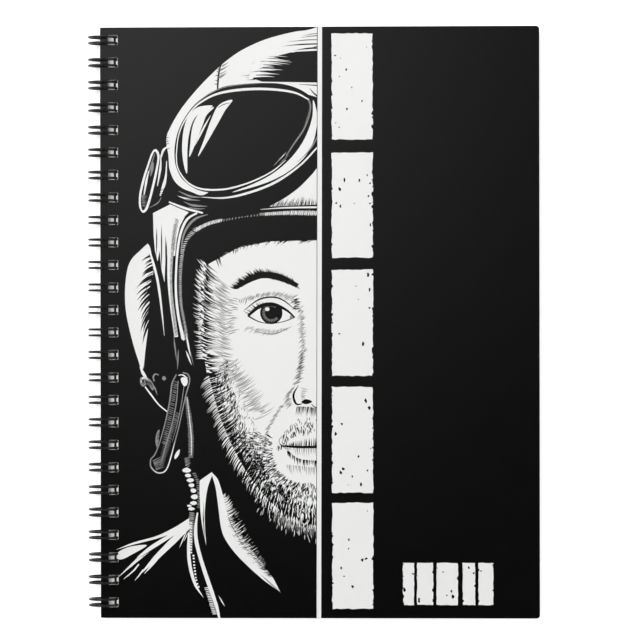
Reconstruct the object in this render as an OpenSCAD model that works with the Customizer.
// Wire-bound log notebook: two laminated boards, a stack of punched leaves and one
// continuous black double-loop wire. Millimetres. The book lies on its back:
// +X from the spine to the fore edge, +Y up the page, +Z up through the front cover.
// Heights called "lift" are measured from the centre line of the rings.

/* [Covers] */
// Width of each cover, from the spine edge to the fore edge
cover_w = 165.1; // [90:0.1:230]
// Height of each cover, along the spine
cover_h = 222.25; // [120:0.05:320]
// Thickness of the grey board inside each cover
board_t = 0.4; // [0.2:0.05:2]
// Thickness of each printed or plain sheet laminated to the board
film_t = 0.05; // [0.02:0.01:0.2]
// Corner radius at the fore edge
fore_corner_r = 1.3; // [0.2:0.1:10]
// Corner radius at the spine
spine_corner_r = 0.5; // [0.2:0.1:10]
// How far the spine edge of each cover passes the centre line of the rings
cover_overhang = 0.8; // [0:0.05:1.2]

/* [Leaves] */
// Number of leaves between the covers
leaf_count = 36; // [4:1:40]
// Thickness of one leaf
leaf_t = 0.1; // [0.05:0.01:0.3]
// Air between one leaf and the next
leaf_gap = 0.018; // [0.005:0.001:0.1]
// How far the leaves stop short of the covers at the head and the tail
leaf_inset = 0.9; // [0.2:0.1:5]
// How far the leaves stop short of the covers at the fore edge
leaf_fore_inset = 1.3; // [0.2:0.1:8]
// Corner radius of a leaf
leaf_corner_r = 0.6; // [0.2:0.1:10]

/* [Punching] */
// Distance from one loop of the binding to the next: three holes to the inch
pitch = 8.4667; // [4:0.0001:12]
// Least margin between an end of the cover and the middle of the nearest hole, if centred
end_margin = 5; // [3:0.1:12]
// How far the whole row of holes is shifted towards the head
head_shift = 0.6; // [-2:0.1:2]
// Size of a hole along the spine
hole_y = 3.6; // [2.5:0.1:6]
// Size of a hole across the spine
hole_x = 3.6; // [2.5:0.1:6]
// Distance from a cover's spine edge to the middle of its holes
cover_hole_in = 4.85; // [3:0.05:7]
// Distance from a leaf's spine edge to the middle of its holes
leaf_hole_in = 4.5; // [3:0.05:7]
// Corner radius of a hole
hole_corner_r = 0.35; // [0.1:0.05:1]

/* [Wire] */
// Diameter of the coated wire
wire_d = 0.9; // [0.5:0.05:1.6]
// Radius of the rings, to the middle of the wire
ring_r = 5.2; // [4:0.05:9]
// Distance between the two wires of one loop
pair_gap = 2.24; // [1.5:0.01:3]
// Radius of the bends at a loop's tip and root, to the middle of the wire
bend_r = 0.5; // [0.46:0.01:1]
// Angle above the horizontal at which the tips close
tip_angle = 23.8; // [15:0.1:60]
// Gap between a tip and the bars that it closes against
seam_gap = 0.1; // [0.05:0.01:0.5]

/* [Fits] */
// Clearance between the wire's root bars and the sheet above or below them
bar_clearance = 0.08; // [0.05:0.01:0.5]
// Clearance between the last leaf and the back cover
back_clearance = 0.02; // [0.01:0.01:0.5]
// Least distance from a leaf's spine edge to the centre line of the rings
leaf_edge_min = 0.05; // [0.02:0.01:1]
// Clearance between the inside of the rings and the spine side of a leaf's holes
hole_play = 0.15; // [0.05:0.01:0.5]

/* [Hidden] */
$fn = 24;
cover_t = board_t + 2 * film_t;
wire_r = wire_d / 2;
axis_z = ring_r + wire_r;
loop_count = floor((cover_h - 2 * end_margin) / pitch) + 1;
first_y = head_shift - (loop_count - 1) * pitch / 2;
// Angle at the centre that a bend takes up on the ring
bend_angle = asin(bend_r / ring_r);
// Angle from a tip's bar down to the root bars that it closes against
seam_angle = 2 * asin((wire_d + seam_gap) / (2 * ring_r));
root_angle = tip_angle - seam_angle;
arc_top = tip_angle + bend_angle;
arc_bottom = root_angle - bend_angle;
// A ball closes each joint between an arc and a bend. Inside it the two stand a little apart
joint_r = wire_r + 0.01;
joint_angle = 0.4;
bar_lift = ring_r * sin(root_angle);
cover_lift = bar_lift + wire_r + bar_clearance;
stack_top = bar_lift - wire_r - bar_clearance;
leaf_pitch = leaf_t + leaf_gap;
stack_bottom = stack_top - leaf_count * leaf_pitch + leaf_gap;
back_lift = stack_bottom - back_clearance - cover_t;
leaf_w = cover_w - cover_overhang - leaf_fore_inset - leaf_edge(0);
leaf_h = cover_h - 2 * leaf_inset;
// The book's own frame: the middle of the bounding box lies over the origin
span_left = -ring_r - wire_r;
span_right = cover_w - cover_overhang;
spine_x = -(span_left + span_right) / 2;
overlap = 0.5;

// Distance from the centre line of the rings to the spine edge of a leaf, which is drawn
// out until its holes almost touch the inside of the rings, but never past the centre line
function leaf_edge(lift) =
    max(leaf_edge_min, ring_inside(lift) - hole_play - leaf_hole_in + hole_x / 2);
function ring_inside(lift) = sqrt((ring_r - wire_r) * (ring_r - wire_r) - lift * lift);
function leaf_top(i) = stack_top - i * leaf_pitch;
function two_digits(n) = n < 10 ? str("0", n) : str(n);
function leaf_name(i) = str("log_leaf_", two_digits(i + 1));
function loop_y(i) = first_y + i * pitch;

// A rectangle from x = 0 to w, centred on y, with its own radius at each pair of corners
module sheet_outline(w, h, spine_r, fore_r) {
    square_w = w - spine_r - fore_r;
    translate([spine_r, -h / 2]) square([square_w, h]);
    translate([0, spine_r - h / 2]) square([spine_r + overlap, h - 2 * spine_r]);
    translate([w - fore_r - overlap, fore_r - h / 2])
        square([fore_r + overlap, h - 2 * fore_r]);
    for (side = [-1, 1]) {
        translate([spine_r, side * (h / 2 - spine_r)]) circle(r = spine_r);
        translate([w - fore_r, side * (h / 2 - fore_r)]) circle(r = fore_r);
    }
}

// One punched hole, nearly square, centred on the origin
module hole_outline() {
    inner_x = hole_x - 2 * hole_corner_r;
    inner_y = hole_y - 2 * hole_corner_r;
    square([hole_x, inner_y], center = true);
    square([inner_x, hole_y], center = true);
    for (sx = [-1, 1], sy = [-1, 1])
        translate([sx * inner_x / 2, sy * inner_y / 2]) circle(r = hole_corner_r);
}

// A sheet t thick whose spine edge lies edge past the centre line of the rings and
// whose underside is lift above it, punched with one hole for every loop
module punched_sheet(w, h, t, edge, lift, hole_in, spine_r, fore_r) {
    translate([spine_x + edge, 0, axis_z + lift])
        linear_extrude(height = t)
            difference() {
                sheet_outline(w, h, spine_r, fore_r);
                for (i = [0 : loop_count - 1])
                    translate([hole_in, loop_y(i)]) hole_outline();
            }
}

module cover_layer(t, lift) {
    punched_sheet(cover_w, cover_h, t, -cover_overhang, lift, cover_hole_in,
                  spine_corner_r, fore_corner_r);
}

// Places children on the ring at an angle, with +Y along the spine and +Z along the ring
module on_ring(angle, y, along) {
    rotate([0, -angle, 0]) translate([ring_r, y, along]) children();
}

// One long arc of a loop, from the tip round the spine to the root, in the plane at y
module ring_arc(y) {
    translate([0, y, 0])
        rotate([90, 0, 0])
            rotate([0, 0, arc_top + joint_angle])
                rotate_extrude(angle = 360 + arc_bottom - arc_top - 2 * joint_angle)
                    translate([ring_r, 0]) circle(r = wire_r);
    for (angle = [arc_top, arc_bottom])
        on_ring(angle, y, 0) sphere(r = joint_r);
}

// A straight bar of wire along the spine, from one y to another
module ring_bar(angle, along, from_y, to_y) {
    on_ring(angle, from_y, along)
        rotate([-90, 0, 0])
            cylinder(r = wire_r, h = to_y - from_y);
}

// A quarter bend round a centre at y. quarter counts the turns from +Y towards +Z
module ring_bend(angle, y, quarter) {
    on_ring(angle, y, 0)
        rotate([90, 0, 90])
            rotate([0, 0, quarter * 90])
                rotate_extrude(angle = 90)
                    translate([bend_r, 0]) circle(r = wire_r);
}

// The closed end of a loop: two bends and the bar between them
module loop_tip() {
    bar_end = pair_gap / 2 - bend_r;
    ring_bend(arc_top, bar_end, 3);
    ring_bend(arc_top, -bar_end, 2);
    ring_bar(arc_top, -bend_r, -bar_end, bar_end);
}

// The root bar from this loop to the next, with its two bends
module root_link() {
    bar_from = pair_gap / 2 + bend_r;
    bar_to = pitch - bar_from;
    ring_bend(arc_bottom, bar_from, 1);
    ring_bend(arc_bottom, bar_to, 0);
    ring_bar(arc_bottom, bend_r, bar_from, bar_to);
}

module binding_wire() {
    color([0.06, 0.06, 0.06])
        translate([spine_x, 0, axis_z])
            for (i = [0 : loop_count - 1])
                translate([0, loop_y(i), 0]) {
                    for (side = [-1, 1]) ring_arc(side * pair_gap / 2);
                    loop_tip();
                    if (i < loop_count - 1) root_link();
                }
}

module front_board() {
    color([0.80, 0.79, 0.76]) cover_layer(board_t, cover_lift + film_t);
}

module front_print_sheet() {
    color([0.09, 0.09, 0.09]) cover_layer(film_t, cover_lift + film_t + board_t);
}

module front_lining_sheet() {
    color([0.10, 0.10, 0.10]) cover_layer(film_t, cover_lift);
}

module back_board() {
    color([0.80, 0.79, 0.76]) cover_layer(board_t, back_lift + film_t);
}

module back_outer_sheet() {
    color([0.09, 0.09, 0.09]) cover_layer(film_t, back_lift);
}

module back_lining_sheet() {
    color([0.10, 0.10, 0.10]) cover_layer(film_t, back_lift + film_t + board_t);
}

// Leaf number i, counted down from the front cover
module log_leaf(i) {
    lift = leaf_top(i) - leaf_t;
    color([0.96, 0.95, 0.92])
        punched_sheet(leaf_w, leaf_h, leaf_t, leaf_edge(lift), lift, leaf_hole_in,
                      leaf_corner_r, leaf_corner_r);
}

binding_wire();
front_board();
front_print_sheet();
front_lining_sheet();
back_board();
back_outer_sheet();
back_lining_sheet();
for (i = [0 : leaf_count - 1])
    log_leaf(i);
